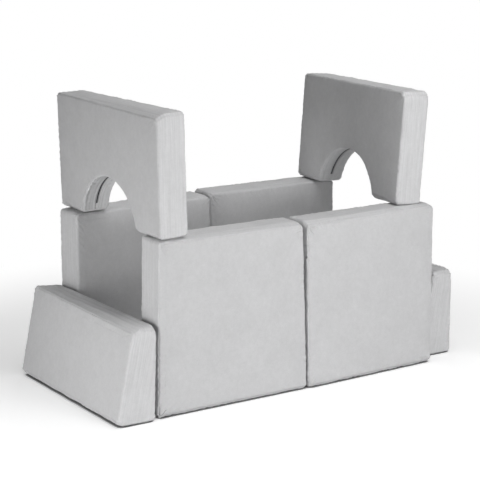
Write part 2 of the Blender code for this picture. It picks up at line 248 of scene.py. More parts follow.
def shoulder(distance):
    """Height of a face over its seam's plane: a quick rise at the seam and a slow crown."""
    quick = shoulder_rise * (1 - np.exp(-distance / shoulder_reach))
    return quick + crown_rise * (1 - np.exp(-distance / crown_reach))


def closed_mesh(rings, patches, sides):
    """Vertices and quads of a solid: rings joined one to the next, and a patch inside the first
    and the last, turned so that both face outwards."""
    count, columns = rings.shape[:2]
    number = np.arange(count * columns).reshape(count, columns)
    vertices, quads = [rings.reshape(-1, 3)], [grid_quads(np.hstack((number, number[:, :1])))]
    first_inside = count * columns
    for ring_number, grid, sign in ((0, patches[0], -1), (count - 1, patches[1], 1)):
        vertices.append(grid[1:-1, 1:-1].reshape(-1, 3))
        numbers = patch_numbers(ring_number * columns, first_inside, sides)
        quads.append(grid_quads(numbers)[:, ::sign])
        first_inside += len(vertices[-1])
    return np.vstack(vertices), np.vstack(quads)


def boxed_cover(outline, sides, low, high, slot_here, corners, insets, seed, soffit_here=None):
    """Points (u, v, w) of one stuffed cover, its quads, their place on the cloth and their kind.

    Rings run from the flat of face A out to its seam, across the gusset and in to the flat of
    face B. Across the rings a face rises as shoulder() says. The gusset bulges and has folds along
    it, with a second, finer set on a soffit, where it is squeezed. Puckers are waves along the seam
    that are strongest 5.5 mm from it on a face and 6 mm on the gusset, and the seam sways inwards a
    little. At the foot the weight tucks the seams up by foot_tuck and rolls them under by
    foot_roll. The middle of each face is a patch inside its last ring, with two sizes of ripples
    and the pinches of the corners. The gusset's middle sinks by slot_depth where slot_here is true,
    as a bed for the zip, between two raised lips, and in a narrow crease where the soffit has none.
    """
    seam, _ = outline(0.0)
    columns = len(seam)
    chord = np.linalg.norm(np.roll(seam, -1, axis=0) - seam, axis=1)
    along = np.concatenate(([0.0], np.cumsum(chord)))[:-1]
    loop = chord.sum()
    near_corner = sum(strength * np.exp(-np.hypot(*(seam - (u, v)).T) / pucker_corner_reach)
                      for u, v, strength in corners)
    uneven = np.clip(waves(along, loop, *tension_waves, seed + 2), -1.0, 1.0)
    tension = even_tension + uneven_tension * uneven + corner_tension * near_corner
    slow_pucker = waves(along, loop, *slow_pucker_waves, seed + 1)
    pucker = (waves(along, loop, *pucker_waves, seed) + slow_pucker_share * slow_pucker) * tension
    slot = slot_here(seam)
    soffit = soffit_here(seam) if soffit_here else np.zeros(columns)
    crease = soffit * (1 - slot)
    sway = seam_sway * (1 + np.clip(waves(along, loop, *sway_waves, seed + 7), -1.0, 1.0))
    bend = fold_bend * waves(along, loop, *bend_waves, seed + 6)
    face_low, face_high = low(seam[:, 1]), high(seam[:, 1])
    middle = (face_low + face_high) / 2
    tuck = np.exp(-np.maximum(seam[:, 1], 0.0) / tuck_height) * foot_tuck

    def rolled(v):
        return foot_roll * np.exp(-(np.maximum(v, 0.0) / roll_height) ** 2)

    def face_ring(inset, plane, sign):
        fade = inset / pucker_start * math.exp(1 - inset / face_pucker_reach)
        groove = seam_groove * math.exp(-(inset / groove_reach) ** 2)
        uv, inward = outline(inset + groove)
        rise = shoulder(inset) + pucker_height * pucker * fade - groove
        pinch = pinch_height * pinches(uv[:, 0], uv[:, 1], corners, seed + 9)
        rise += min(inset / pinch_start, 1.0) * pinch
        rise -= rolled(uv[:, 1])
        uv = uv + inward * (sway * math.exp(-inset / sway_reach))[:, None]
        uv = uv + np.column_stack((np.zeros(columns), tuck * math.exp(-inset / tuck_reach)))
        return np.column_stack((uv, plane(uv[:, 1]) + sign * rise))

    def gusset_ring(w, from_seam, sink):
        fold = np.sin(2 * math.pi * (w - face_low) / fold_length + bend)
        fine_fold = np.sin(2 * math.pi * (w - face_low) / soffit_fold_length + fine_fold_bend * bend)
        fold = fold + soffit * fine_fold
        folded = np.clip((np.abs(w - middle) - unfolded_beside_zip) / unfolded_fade, 0.0, 1.0)
        clear_of_zip = 1 - slot * (1 - folded)
        fold = fold * fold_height * clear_of_zip * (1 - np.exp(-from_seam / fold_start))
        fade = from_seam / pucker_start * np.exp(1 - from_seam / gusset_pucker_reach)
        groove = seam_groove * np.exp(-(from_seam / groove_reach) ** 2)
        bulge = gusset_rise * (1 - np.exp(-from_seam / gusset_reach)) - groove
        uv, inward = outline(0.0)
        uv = uv - inward * (bulge + fold + pucker_height * pucker * fade - sink - sway)[:, None]
        uv[:, 1] += tuck * np.exp(-from_seam / gusset_foot_reach)
        under = np.sign(middle - w) * rolled(seam[:, 1]) * np.exp(-from_seam / gusset_foot_reach)
        return np.column_stack((uv, w + under))

    rings, across = [], []
    for inset in insets[::-1]:
        rings.append(face_ring(inset, low, -1.0))
        across.append(np.full(columns, -inset))
    steps = [(face_low + step, np.full(columns, step), 0.0 * slot) for step in gusset_steps]
    first, last = face_low + gusset_steps[-1], middle - slot_steps[0]
    for row in range(1, gusset_rows + 1):
        w = first + (last - first) * row / (gusset_rows + 1)
        steps.append((w, w - face_low, 0.0 * slot))
    bed, lip = slot_depth * slot, lip_rise * slot
    sinks = [lip, -lip, -lip, 0.0 * slot, bed, bed + 0.5 * crease_depth * crease]
    steps += [(middle - step, middle - step - face_low, sink) for step, sink in zip(slot_steps, sinks)]
    bottom = (middle, middle - face_low, bed + crease_depth * crease)
    other_side = [(face_low + face_high - w, from_seam, sink) for w, from_seam, sink in steps[::-1]]
    for w, from_seam, sink in steps + [bottom] + other_side:
        rings.append(gusset_ring(w, from_seam, sink))
        across.append(w - face_low)
    for inset in insets:
        rings.append(face_ring(inset, high, 1.0))
        across.append(face_high - face_low + inset)

    across = np.array(across)
    once_round = np.tile(np.append(along, loop), (len(rings), 1))
    places = [grid_quads(np.stack((once_round, np.hstack((across, across[:, :1]))), -1))]
    face_rows = len(insets) - 1
    row_kind = np.ones(len(rings) - 1)
    row_kind[:face_rows] = row_kind[-face_rows:] = 0.0

    rim, _ = outline(insets[-1])
    patches = []
    for side, (plane, sign) in enumerate(((low, -1.0), (high, 1.0))):
        flat = patch(rim, sides)
        inner = flat[1:-1, 1:-1]
        gap = inner[:, :, None, :] - rim[None, None, ::3, :]
        depth = insets[-1] + np.sqrt((gap ** 2).sum(-1).min(-1))
        rise = np.full(flat.shape[:2], shoulder(insets[-1]))
        rise[1:-1, 1:-1] = shoulder(depth)
        for _ in range(crown_smoothings):
            rise[1:-1, 1:-1] = (rise[:-2, 1:-1] + rise[2:, 1:-1] + rise[1:-1, :-2] + rise[1:-1, 2:]) / 4
        grown = 1 - np.exp(-(depth - insets[-1]) / ripple_start)
        u, v = inner[..., 0], inner[..., 1]
        broad = broad_ripple_height * ripples(u, v, broad_ripple_length, seed + 3 + side)
        fine = fine_ripple_height * ripples(u, v, fine_ripple_length, seed + 5 + side)
        rise[1:-1, 1:-1] += grown * (broad + fine)
        rise[1:-1, 1:-1] += pinch_height * pinches(u, v, corners, seed + 9)
        patches.append(np.dstack((flat, plane(flat[..., 1]) + sign * rise)))
        places.append(grid_quads(flat)[:, ::int(sign)])
    vertices, quads = closed_mesh(np.array(rings), patches, sides)
    kind = np.zeros(len(quads))
    kind[:len(row_kind) * columns] = np.repeat(row_kind, columns)
    return vertices, quads, np.vstack(places), kind


def pulled_corners(length, height, pulls):
    """A block's four sewn corners and the strength of their folds, as pinches() takes them."""
    spots = ((0.0, 0.0), (length, 0.0), (length, height), (0.0, height))
    return [(*spot, pull) for spot, pull in zip(spots, pulls)]


def spread_ends(points, length, height, shifts):
    """Shift points along u as soft foam sags: the foot's start and end and the head's start and
    end each have their own shift, and the points between them take a blend."""
    along, up = points[:, 0] / length, points[:, 1] / height
    foot = shifts[0] + (shifts[1] - shifts[0]) * along
    head = shifts[2] + (shifts[3] - shifts[2]) * along
    return points + np.outer(foot + (head - foot) * up, (1, 0, 0))


def soft_top_edge(points, block, length, height, from_face_a):
    """Let face A's top seam fall below the top over a rounded edge: by the block's first fall at
    its start, the second at its end and a blend between, less further from the seam."""
    first, last = top_edge_falls[block]
    fall = first + (last - first) * points[:, 0] / length
    below = (height - points[:, 1]) / edge_fall_reach
    inside = np.maximum(from_face_a, 0.0) / edge_reach
    return points - np.outer(fall * np.exp(-below ** 2 - inside ** 2), (0, 1, 0))


def lifted_foot(points, lift, height, reach):
    """Raise the seam at the foot of face A, less upwards and less away from the face."""
    up, away = np.maximum(points[:, 1], 0.0) / height, np.maximum(points[:, 2], 0.0) / reach
    return points + np.outer(lift * np.exp(-up ** 2 - away ** 2), (0, 1, 0))


def in_world(points, panel, place, floor):
    """Own axes (u, v, w) to world points: panels lie along X, the other blocks along Y. What would
    reach below the block's floor is flattened on it, as soft foam is."""
    u, v, w = points.T
    own = np.column_stack((u, w, v) if panel else (w, u, v))
    matrix = np.array(place)
    world = own @ matrix[:3, :3].T + matrix[:3, 3]
    world[:, 2] = np.maximum(world[:, 2], floor)
    return world


def placement(point, yaw, lean=0.0):
    """A block's placement: leaned about its Y axis, then turned about Z, then moved to a point."""
    turned = Euler((0.0, 0.0, math.radians(yaw))).to_matrix()
    leaned = Euler((0.0, math.radians(lean), 0.0)).to_matrix()
    return Matrix.Translation(point) @ (turned @ leaned).to_4x4()


def quad_piece(name, vertices, quads, mirrored):
    """An object of quads from whole arrays. Mirrored axes turn the quads inside out, so they are
    turned back."""
    quads = quads[:, ::-1] if mirrored else quads
    mesh = bpy.data.meshes.new(name)
    mesh.vertices.add(len(vertices))
    mesh.vertices.foreach_set("co", np.ascontiguousarray(vertices, np.float32).ravel())
    mesh.loops.add(quads.size)
    mesh.loops.foreach_set("vertex_index", quads.ravel().astype(np.int32))
    mesh.polygons.add(len(quads))
    mesh.polygons.foreach_set("loop_start", np.arange(0, quads.size, 4, dtype=np.int32))
    mesh.update(calc_edges=True)
    mesh.shade_smooth()
    piece = bpy.data.objects.new(name, mesh)
    bpy.context.scene.collection.objects.link(piece)
    return piece


def cover_piece(block, vertices, quads, places, kind, mirrored):
    """A block's cover, with its place on the cloth in metres as UV map and its kind, face or
    gusset, as an attribute. It stands for the block's CAD cover."""
    piece = quad_piece(f"{block}_velour_cover", vertices, quads, mirrored)
    places = places[:, ::-1] if mirrored else places
    piece.data.uv_layers.new(name="cloth").data.foreach_set("uv", places.astype(np.float32).ravel())
    piece.data.attributes.new("gusset", "FLOAT", "FACE").data.foreach_set("value", kind.astype(np.float32))
    piece.data.materials.append(velour)
    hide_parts(f"{block}_cover")
    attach(piece, block)


def linear(hex_colour):
    """sRGB hex to linear RGBA."""
    channels = [int(hex_colour[i:i + 2], 16) / 255 for i in (1, 3, 5)]
    return (*[c / 12.92 if c <= 0.04045 else ((c + 0.055) / 1.055) ** 2.4 for c in channels], 1.0)


def new_material(name):
    """A material and its node tree, still empty."""
    material = bpy.data.materials.new(name)
    material.use_nodes = True
    material.node_tree.nodes.clear()
    return material, material.node_tree


def add_node(tree, kind, inputs=(), **settings):
    """A node with its settings, its input values and the links into it."""
    node = tree.nodes.new(kind)
    for key, value in settings.items():
        setattr(node, key, value)
    for key, value in dict(inputs).items():
        if isinstance(value, bpy.types.NodeSocket):
            tree.links.new(value, node.inputs[key])
        else:
            node.inputs[key].default_value = value
    return node


def multiply_add(tree, value, factor, offset):
    """A value times a factor plus an offset, as the output of a math node."""
    node = add_node(tree, "ShaderNodeMath", {0: value, 1: factor, 2: offset}, operation="MULTIPLY_ADD")
    return node.outputs[0]


def tinted(tree, hex_colour, shade):
    """A colour times a shade, as the output of a vector node."""
    colour = linear(hex_colour)[:3]
    return add_node(tree, "ShaderNodeVectorMath", {0: colour, 1: shade}, operation="MULTIPLY").outputs[0]


# Velour: a knitted polyester with a short dense pile. It is matt, with a pale bloom at a glancing angle,
# cloudy where the pile lies different ways, and streaked along the gussets, which are cut across the nap.
# The gussets, which hold the tops and the ends, are painted paler as well: painted light and painted sheen
# for the light on them and for pile cut across the nap. Clouds are 70 mm across, brush marks 15 and 4 mm,
# streaks 5 mm wide, and the pile is drawn 1 mm coarse.
velour, tree = new_material("light_grey_velour")
where = add_node(tree, "ShaderNodeTexCoord").outputs["Object"]
cloth = add_node(tree, "ShaderNodeUVMap", uv_map="cloth").outputs["UV"]
gusset = add_node(tree, "ShaderNodeAttribute", attribute_name="gusset").outputs["Fac"]
shade = 0.76
# Clouds, two sizes of brush marks, and last the pile, which also gives the relief.
for marks_per_metre, detail, weight in ((14.0, 4.0, 0.12), (65.0, 3.0, 0.14), (250.0, 2.0, 0.14),
                                        (900.0, 2.0, 0.10)):
    pile = add_node(tree, "ShaderNodeTexNoise",
                    {"Vector": where, "Scale": marks_per_metre, "Detail": detail, "Roughness": 0.6})
    shade = multiply_add(tree, pile.outputs["Fac"], weight, shade)
drawn_out = add_node(tree, "ShaderNodeMapping", {"Vector": cloth, "Scale": (4.0, 190.0, 1.0)})
streak = add_node(tree, "ShaderNodeTexNoise",
                  {"Vector": drawn_out.outputs["Vector"], "Scale": 1.0, "Detail": 3.0, "Roughness": 0.65})
streak_off = add_node(tree, "ShaderNodeMath", {0: streak.outputs["Fac"], 1: 0.5}, operation="SUBTRACT")
streaks = add_node(tree, "ShaderNodeMath", {0: streak_off.outputs[0], 1: gusset}, operation="MULTIPLY")
shade = multiply_add(tree, streaks.outputs[0], 0.38, shade)
# Painted light: every gusset, the tops and ends among them, is made paler by 0.07 of the shade.
shade = multiply_add(tree, gusset, 0.07, shade)
relief = multiply_add(tree, streaks.outputs[0], 1.2, pile.outputs["Fac"])
bump = add_node(tree, "ShaderNodeBump", {"Height": relief, "Strength": 0.4, "Distance": 0.0007})
shader = add_node(tree, "ShaderNodeBsdfPrincipled", {
    "Base Color": tinted(tree, "#c9c9ca", shade), "Roughness": 0.95, "Specular IOR Level": 0.12,
    "Sheen Weight": 0.22, "Sheen Roughness": 0.5, "Normal": bump.outputs["Normal"]})
add_node(tree, "ShaderNodeOutputMaterial", {"Surface": shader.outputs["BSDF"]})


def bottom_slot(length):
    """Says which points of an outline lie along the zip in the bottom gusset."""
    def here(seam):
        past_start = seam[:, 0] > slot_end_margin - on_line
        before_end = seam[:, 0] < length - slot_end_margin + on_line
        return ((seam[:, 1] < on_line) & past_start & before_end).astype(float)
    return here


def settle_panel(points, block, above=0.0):
    """A panel's own axes to the world: face A's top seam falls, the ends spread as it sags, the
    seam at the foot of face A lifts off the floor, and the rest stands on the floor."""
    point, yaw, shifts = panel_places[block]
    points = soft_top_edge(points, block, panel_length, panel_height, points[:, 2])
    points = spread_ends(points, panel_length, panel_height, shifts)
    points = lifted_foot(points, foot_lift, foot_lift_height, foot_lift_reach)
    return in_world(points, True, placement(point, yaw), above)


def face_a(v):
    """Plane of a panel's or an arch's first face."""
    return 0.0 * v


def panel_face_b(v):
    """Plane of a panel's second face."""
    return 0.0 * v + panel_thickness


panel_outline, panel_sides = slab_outline(panel_length, panel_height, panel_corner, column_step)
for seed, block in enumerate(panel_places):
    corners = pulled_corners(panel_length, panel_height, corner_pulls[block])
    points, *cloth_data = boxed_cover(panel_outline, panel_sides, face_a, panel_face_b,
                                      bottom_slot(panel_length), corners, face_insets, 20 * seed)
    cover_piece(block, settle_panel(points, block), *cloth_data, True)


# ---- Wedge covers: two bolster blocks with an upright face and a sloping one, lying at the ends.
# They are cut and sewn as the panels are. The foam gives way at the upright face's top corners.
wedge_length, wedge_height, wedge_foot = 0.708, 0.320, 0.140
wedge_top_thickness = 0.083
wedge_corner = 0.010
wedge_pulls = (1.0, 0.8, 1.0, 1.5)
soft_corner, corner_softness = 0.045, 0.75
firm_thickness = 0.05
outer_foot_lift, outer_lift_height, outer_lift_reach = 0.010, 0.016, 0.012
# First corner, turn about Z and lean about Y in degrees.
wedge_places = {
    "left_wedge": ((-0.737253, -0.395317, 0.005152), 0.6, 1.7),
    "right_wedge": ((0.600379, -0.312852, 0.0025), 0.0, 0.0),
}


def soften_corners(points, length, height, radius, weight):
    """Round the two top corners: a point past the start of a corner's arc, at radius[0] from the
    start and radius[1] from the end, is drawn towards the arc's centre by the ratio of its larger
    reach to its distance, raised to the weight.
    """
    start, end = radius[0] - points[:, 0], points[:, 0] - length + radius[1]
    upwards = np.where(start > 0, points[:, 1] - height + radius[0], points[:, 1] - height + radius[1])
    reach = np.column_stack((np.maximum(start, 0.0) - np.maximum(end, 0.0), np.maximum(upwards, 0.0)))
    ratio = (np.abs(reach).max(axis=1) + 1e-9) / (np.hypot(*reach.T) + 1e-9)
    pull = (1 - ratio ** weight)[:, None] * reach
    return points + np.column_stack((pull[:, 0], -pull[:, 1], np.zeros(len(points))))


def settle_wedge(points, block, above=0.0):
    """A wedge's own axes to the world: the upright face's top corners are soft, the sloping face's
    top seam falls and its foot seam lifts off the floor, and the rest stands on the floor."""
    point, yaw, lean = wedge_places[block]
    upright = np.clip((points[:, 2] - firm_thickness) / (wedge_foot - firm_thickness), 0.0, 1.0)
    points = soften_corners(points, wedge_length, wedge_height, (soft_corner, soft_corner),
                            corner_softness * upright)
    from_slope = points[:, 2] - wedge_face_a(points[:, 1])
    points = soft_top_edge(points, block, wedge_length, wedge_height, from_slope)
    points = lifted_foot(points, outer_foot_lift, outer_lift_height, outer_lift_reach)
    return in_world(points, False, placement(point, yaw, lean), above)


def wedge_face_a(v):
    """Plane of a wedge's sloping face."""
    return (wedge_foot - wedge_top_thickness) / wedge_height * v


def wedge_face_b(v):
    """Plane of a wedge's upright face."""
    return 0.0 * v + wedge_foot


wedge_outline, wedge_sides = slab_outline(wedge_length, wedge_height, wedge_corner, column_step)
for seed, block in enumerate(wedge_places):
    corners = pulled_corners(wedge_length, wedge_height, wedge_pulls)
    points, *cloth_data = boxed_cover(wedge_outline, wedge_sides, wedge_face_a, wedge_face_b,
                                      bottom_slot(wedge_length), corners, face_insets, 100 + 20 * seed)
    cover_piece(block, settle_wedge(points, block), *cloth_data, False)


# ---- Arch covers: two armrest blocks with a half-round cut-out, bridging the front and back panels.
# The gusset runs round the outside and through the cut-out, where the zip is. Beyond the zip's ends
# the two halves of the gusset meet in a crease.
arch_length, arch_height, arch_thickness = 0.708, 0.408, 0.100
arch_corner = 0.010
arch_pulls = (0.8, 0.8, 0.9, 1.3)
arch_foot_radius = 0.014
opening_radius = 0.195
opening_drop = 0.038
arch_slot_angle = math.radians(19.97)
arch_insets = face_insets[:9]
arch_seat = 0.6003
# Middle of the opening's axis, turn about Z and lean about Y in degrees, and the radii of the soft
# top corners at the start and the end.
arch_places = {
    "left_arch": ((-0.503551, -0.020852, 0.564532), 0.0, -1.4, (0.016, 0.014)),
    "right_arch": ((0.527484, 0.012481, 0.563557), -5.3, 4.2, (0.036, 0.014)),
}


def arch_outline_of(side_count, top_count, foot_count):
    """An arch face's outline for any inset, from the middle of the first foot's rounding over the
    soffit to the other foot, and round the outside back."""
    length, height, middle, half_turn = arch_length, arch_height, arch_length / 2, math.pi
    corner, half = 8, 4
    around = 2 * half + 2 * side_count + 2 * corner + top_count

    def outline(inset):
        r = max(arch_corner - inset, sharpest_corner)
        foot = max(arch_foot_radius - inset, sharpest_corner)
        soffit = opening_radius + inset
        foot_v = inset + foot
        reach = math.sqrt((soffit + foot) ** 2 - (foot_v + opening_drop) ** 2)
        tangent = math.atan2(foot_v + opening_drop, reach)
        halfway = (half_turn + tangent + 1.5 * half_turn) / 2
        low, right, top, base = inset + r, length - inset - r, height - inset - r, inset + r
        left_foot, right_foot = (middle - reach, foot_v), (middle + reach, foot_v)
        return walk_outline([
            (left_foot, foot, half_turn - halfway, -tangent, half),
            ((middle, -opening_drop), soffit, half_turn - tangent, tangent, around - 2 * half),
            (right_foot, foot, half_turn + tangent, halfway, half),
            (right_foot, foot, halfway, 1.5 * half_turn, half),
            ((middle + reach, inset), (right, inset), foot_count),
            ((right, base), r, -half_turn / 2, -half_turn / 4, half),
            ((right, base), r, -half_turn / 4, 0.0, half),
            ((length - inset, base), (length - inset, top), side_count),
            ((right, top), r, 0.0, half_turn / 2, corner),
            ((right, height - inset), (low, height - inset), top_count),
            ((low, top), r, half_turn / 2, half_turn, corner),
            ((inset, top), (inset, base), side_count),
            ((low, base), r, half_turn, 1.25 * half_turn, half),
            ((low, base), r, 1.25 * half_turn, 1.5 * half_turn, half),
            ((low, inset), (middle - reach, inset), foot_count),
            (left_foot, foot, -half_turn / 2, half_turn - halfway, half),
        ])
    return outline, (around, foot_count + 2 * half)


def soffit_between(first_angle):
    """Says which points of an arch's outline lie on the soffit, above an angle at either foot."""
    def here(seam):
        from_axis = seam - (arch_length / 2, -opening_drop)
        angle = np.arctan2(from_axis[:, 1], from_axis[:, 0])
        on_soffit = np.abs(np.hypot(*from_axis.T) - opening_radius) < on_line
        return (on_soffit & (angle > first_angle) & (angle < math.pi - first_angle)).astype(float)
    return here


def settle_arch(points, block, above=0.0):
    """An arch's own axes to the world: its top corners are soft, face A's top seam falls, it leans,
    and its feet are flat on the panels."""
    axis_point, yaw, lean, corner = arch_places[block]
    points = soften_corners(points, arch_length, arch_height, corner, 1.0)
    points = soft_top_edge(points, block, arch_length, arch_height, points[:, 2])
    to_axis = Matrix.Translation((-arch_thickness / 2, -arch_length / 2, opening_drop))
    return in_world(points, False, placement(axis_point, yaw, lean) @ to_axis, arch_seat + above)


def arch_face_b(v):
    """Plane of an arch's second face."""
    return 0.0 * v + arch_thickness


arch_outline, arch_sides = arch_outline_of(side_count=82, top_count=150, foot_count=27)
for seed, block in enumerate(arch_places):
    corners = pulled_corners(arch_length, arch_height, arch_pulls)
    points, *cloth_data = boxed_cover(arch_outline, arch_sides, face_a, arch_face_b,
                                      soffit_between(arch_slot_angle), corners, arch_insets,
                                      200 + 20 * seed, soffit_between(0.0))
    cover_piece(block, settle_arch(points, block), *cloth_data, False)


# ---- Foam cores: one block of polyurethane foam cut to shape in each cover. It fills the cover, so
# it follows the cover's sag and its soft corners, and nothing of it shows while the zip is closed.
core_depth = 0.0045
core_edge = 0.004
core_step = 0.014


def foam_core(outline, sides, low, high):
    """Points and quads of a foam block inside a cover: both faces are flat, and every edge between
    a face and a side is a quarter circle of core_edge, in rows that each have an inset and a depth."""
    rows = [(core_depth + core_edge * (1 - math.sin(turn)), core_depth + core_edge * (1 - math.cos(turn)))
            for turn in np.linspace(0.0, math.pi / 2, 4)]
    rings = []
    for inset, depth in rows:
        uv, _ = outline(inset)
        rings.append(np.column_stack((uv, low(uv[:, 1]) + depth)))
    for inset, depth in rows[::-1]:
        uv, _ = outline(inset)
        rings.append(np.column_stack((uv, high(uv[:, 1]) - depth)))
    flat = patch(outline(rows[0][0])[0], sides)
    planes = low(flat[..., 1]) + core_depth, high(flat[..., 1]) - core_depth
    return closed_mesh(np.array(rings), [np.dstack((flat, plane)) for plane in planes], sides)


# Polyurethane foam: cream, matt, with open cells that a knife cut across. The cells are drawn 2.5 mm
# wide, because the real ones of under 1 mm wouldn't show.
foam, tree = new_material("cut_polyurethane_foam")
where = add_node(tree, "ShaderNodeTexCoord").outputs["Object"]
cells = add_node(tree, "ShaderNodeTexVoronoi", {"Vector": where, "Scale": 400.0})
yellowing = add_node(tree, "ShaderNodeTexNoise", {"Vector": where, "Scale": 6.0, "Detail": 3.0})
shade = multiply_add(tree, cells.outputs["Distance"], 0.25, 0.80)
shade = multiply_add(tree, yellowing.outputs["Fac"], 0.12, shade)
pits = add_node(tree, "ShaderNodeBump",
                {"Height": cells.outputs["Distance"], "Strength": 0.6, "Distance": 0.0008})
shader = add_node(tree, "ShaderNodeBsdfPrincipled", {
    "Base Color": tinted(tree, "#e8e0c8", shade), "Roughness": 0.9, "Specular IOR Level": 0.2,
    "Normal": pits.outputs["Normal"]})
add_node(tree, "ShaderNodeOutputMaterial", {"Surface": shader.outputs["BSDF"]})

core_panel_outline = slab_outline(panel_length, panel_height, panel_corner, core_step)
core_wedge_outline = slab_outline(wedge_length, wedge_height, wedge_corner, core_step)
core_arch_outline = arch_outline_of(side_count=28, top_count=50, foot_count=8)
block_kinds = {
    "panel": (*core_panel_outline, face_a, panel_face_b, settle_panel),
    "wedge": (*core_wedge_outline, wedge_face_a, wedge_face_b, settle_wedge),
    "arch": (*core_arch_outline, face_a, arch_face_b, settle_arch),
}
kinds_and_blocks = (("panel", panel_places), ("wedge", wedge_places), ("arch", arch_places))
block_kind = {block: kind for kind, blocks in kinds_and_blocks for block in blocks}
for block, kind in block_kind.items():
    *shape, settle = block_kinds[kind]
    points, quads = foam_core(*shape)
    piece = quad_piece(f"{block}_foam_core", settle(points, block, core_depth), quads, kind == "panel")
    piece.data.materials.append(foam)
    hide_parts(f"{block}_core")
    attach(piece, block)


# ---- Zips: a nylon coil zip in each gusset, closed. Two woven polyester tapes carry a coil each, and
# the two coils mesh, half a turn apart, along the middle.
zip_end = 0.0503
zip_depth = 0.0025
soffit_zip_gap = 0.0003
gusset_crown = 0.0025
tape_thickness = 0.0008
coil_height, coil_half_width, coil_pitch = 0.0011, 0.00255, 0.0015
turn_depth = 0.26
cleft_depth, cleft_half_width = 0.35, 0.0003
zip_across = np.array([-6.7, -6.0, -4.6, -2.8, -2.5, -2.3, -1.8, -1.2, -0.6, -0.15,
                       0.15, 0.6, 1.2, 1.8, 2.3, 2.5, 2.8, 4.6, 6.0, 6.7]) / 1000
coil_strips = slice(4, 15)
underside_points = [-1, -7, 6, 0]


def zip_strip(length, settle_path):
    """Vertices, faces, cloth places and coil flags of one closed zip.

    It is a grid of rows along the zip and points round its section. The tapes are flat. The coils'
    height is a rounded hump across both, with a cleft in the middle, times a wave along the zip,
    one wave per turn.
    """
    rows = 4 * round(length / coil_pitch)
    s = np.linspace(0.0, length, rows + 1)[:, None]
    x = zip_across[None, :]
    hump = np.sqrt(np.clip(1 - (x / coil_half_width) ** 4, 0.0, 1.0))
    turn = 1 - turn_depth + turn_depth * np.cos(2 * math.pi * s / coil_pitch + math.pi * (x > 0))
    cleft = 1 - cleft_depth * np.exp(-(x / cleft_half_width) ** 2)
    top = zip_depth - coil_height * hump * turn * cleft
    under = np.tile(zip_across[underside_points], (rows + 1, 1))
    across = np.hstack((np.tile(x, (rows + 1, 1)), under))
    depth = np.hstack((top, np.full(under.shape, zip_depth + tape_thickness)))
    along = np.tile(s, (1, across.shape[1]))
    vertices = settle_path(along, depth, across).reshape(-1, 3)
    columns = across.shape[1]
    number = np.arange(vertices.shape[0]).reshape(rows + 1, columns)
    quads = grid_quads(np.hstack((number, number[:, :1])))
    place = np.stack((np.hstack((along, along[:, :1])), np.hstack((across, across[:, :1]))), -1)
    on_coil = np.zeros((rows, columns), int)
    on_coil[:, coil_strips] = 1
    return vertices, quads, (number[0], number[-1][::-1]), grid_quads(place), on_coil.ravel()


def straight_path(middle_w):
    """Lays a zip along the bottom gusset of a panel or wedge."""
    def path(along, depth, across):
        return np.stack((zip_end + along, depth - gusset_crown, middle_w + across), -1)
    return path


def soffit_path(along, depth, across):
    """Lays a zip round the soffit of an arch, about the opening's axis."""
    radius = opening_radius - gusset_crown
    angle = arch_slot_angle + soffit_zip_gap / opening_radius + along / radius
    u = arch_length / 2 + (radius + depth) * np.cos(angle)
    return np.stack((u, (radius + depth) * np.sin(angle) - opening_drop, arch_thickness / 2 + across), -1)


# Polyester tape: a flat herringbone weave with a slight shine, here in grey to go with the velour.
# The ribs are drawn 1.2 mm apart.
tape, tree = new_material("woven_polyester_tape")
cloth = add_node(tree, "ShaderNodeUVMap", uv_map="cloth").outputs["UV"]
ribs = add_node(tree, "ShaderNodeTexWave", {"Vector": cloth, "Scale": 265.0, "Distortion": 0.4},
                bands_direction="DIAGONAL")
shade = multiply_add(tree, ribs.outputs["Fac"], 0.25, 0.80)
rib_bump = add_node(tree, "ShaderNodeBump",
                    {"Height": ribs.outputs["Fac"], "Strength": 0.5, "Distance": 0.0002})
shader = add_node(tree, "ShaderNodeBsdfPrincipled", {
    "Base Color": tinted(tree, "#b0b0b2", shade), "Roughness": 0.7, "Specular IOR Level": 0.3,
    "Normal": rib_bump.outputs["Normal"]})
add_node(tree, "ShaderNodeOutputMaterial", {"Surface": shader.outputs["BSDF"]})

# Nylon coil: an extruded monofilament, smooth and faintly glossy, dyed near black. The dye's clouds
# are 8 mm across.
coil, tree = new_material("dyed_nylon_coil")
where = add_node(tree, "ShaderNodeTexCoord").outputs["Object"]
dye = add_node(tree, "ShaderNodeTexNoise", {"Vector": where, "Scale": 120.0, "Detail": 2.0})
shade = multiply_add(tree, dye.outputs["Fac"], 0.3, 0.85)
shader = add_node(tree, "ShaderNodeBsdfPrincipled", {
    "Base Color": tinted(tree, "#1c1c1e", shade), "Roughness": 0.4, "IOR": 1.53})
add_node(tree, "ShaderNodeOutputMaterial", {"Surface": shader.outputs["BSDF"]})

soffit_arc = (math.pi - 2 * arch_slot_angle) * (opening_radius - gusset_crown)
zip_runs = {
    "panel": (panel_length - 2 * zip_end, straight_path(panel_thickness / 2)),
    "wedge": (wedge_length - 2 * zip_end, straight_path(wedge_foot / 2)),
    "arch": (soffit_arc - 2 * soffit_zip_gap, soffit_path),
}
for block, kind in block_kind.items():
    points, quads, ends, places, on_coil = zip_strip(*zip_runs[kind])
    points = block_kinds[kind][-1](points, block)
    mesh = bpy.data.meshes.new(f"{block}_coil_zip")
    faces = quads.tolist() + [end.tolist() for end in ends]
    turned = kind != "panel"
    mesh.from_pydata(points.tolist(), [], [face[::-1] for face in faces] if turned else faces)
    if turned:
        places = places[:, ::-1]
    uv = np.vstack((places.reshape(-1, 2), np.zeros((2 * len(ends[0]), 2))))
    mesh.uv_layers.new(name="cloth").data.foreach_set("uv", uv.astype(np.float32).ravel())
    mesh.materials.append(tape)
    mesh.materials.append(coil)
    mesh.polygons.foreach_set("material_index", np.append(on_coil, (0, 0)).astype(np.int32))
    mesh.shade_smooth()
    piece = bpy.data.objects.new(f"{block}_coil_zip", mesh)
    bpy.context.scene.collection.objects.link(piece)
    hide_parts(f"{block}_zip")
    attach(piece, block)


